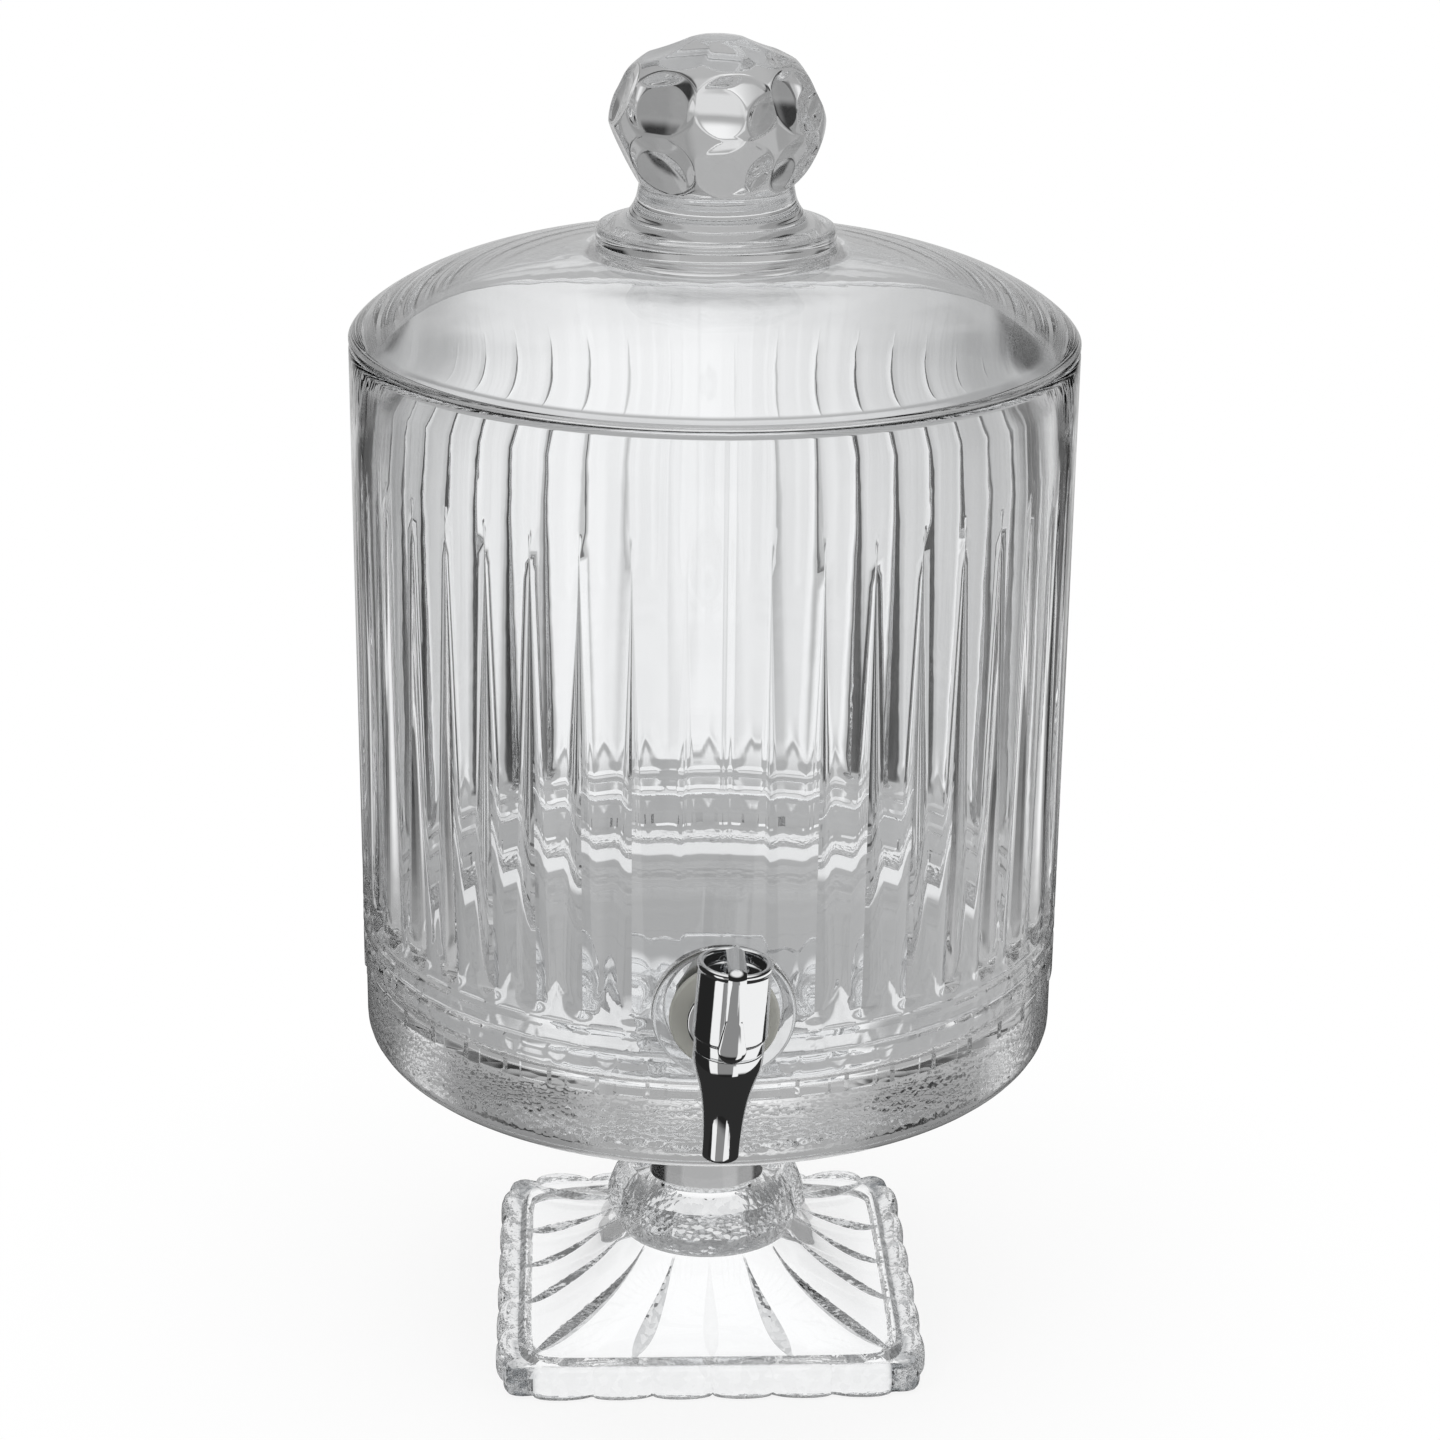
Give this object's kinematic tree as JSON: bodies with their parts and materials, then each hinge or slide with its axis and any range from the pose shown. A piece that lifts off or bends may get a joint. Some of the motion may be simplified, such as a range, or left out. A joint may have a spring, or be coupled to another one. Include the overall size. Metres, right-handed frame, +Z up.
{
  "type": "glass dispenser jar with tap",
  "caption": "Footed cut-glass dispenser jar with a lift-off domed lid, a faceted ball knob and a chrome tap whose lever lifts a sprung valve stem.",
  "frame": {"origin": "on the table, under the middle of the footprint box; the jar's own axis stands at y = 0.02135 m", "axes": "+Z up, the tap faces -Y, +X to the right seen from the tap's side"},
  "size_m": [0.22, 0.2626, 0.4178],
  "materials": {
    "clear_glass": "clear pressed glass, polished",
    "polished_chrome": "polished chrome plate",
    "stainless_steel": "plain stainless steel",
    "grey_silicone": "translucent grey silicone",
    "white_plastic": "white moulded plastic"
  },
  "bodies": {
    "jar": {"glass_jar": "clear_glass", "pedestal_foot": "clear_glass", "tap_body": "polished_chrome", "tap_bonnet": "polished_chrome", "outer_washer": "grey_silicone", "inner_washer": "grey_silicone", "clamp_washer": "stainless_steel", "shank_nut": "white_plastic", "seat_cup": "grey_silicone", "valve_spring": "stainless_steel"},
    "lid": {"lid_dome": "clear_glass", "lid_knob": "clear_glass"},
    "stem": {"valve_stem": "stainless_steel"},
    "lever": {"tap_lever": "polished_chrome", "lever_pin": "stainless_steel"}
  },
  "joints": [
    {"name": "lid_lift", "type": "slide", "parent": "jar", "child": "lid", "axis": [0, 0, 1], "range_m": [0, 0.12]},
    {"name": "stem_lift", "type": "slide", "parent": "jar", "child": "stem", "axis": [0.061, 0, 0.9981], "range_m": [0, 0.003], "stiffness_N_per_m": 600, "springref_m": -0.004, "deforming": ["valve_spring", "seat_cup"]},
    {"name": "lever_swing", "type": "hinge", "parent": "stem", "child": "lever", "pos_m": [0.00168, -0.11715, 0.18225], "axis": [-0.9981, 0, 0.061], "range_deg": [0, 90]}
  ],
  "couplings": [
    {"joint": "lever_swing", "follows": "stem_lift", "rad_per_m": 523.6}
  ]
}
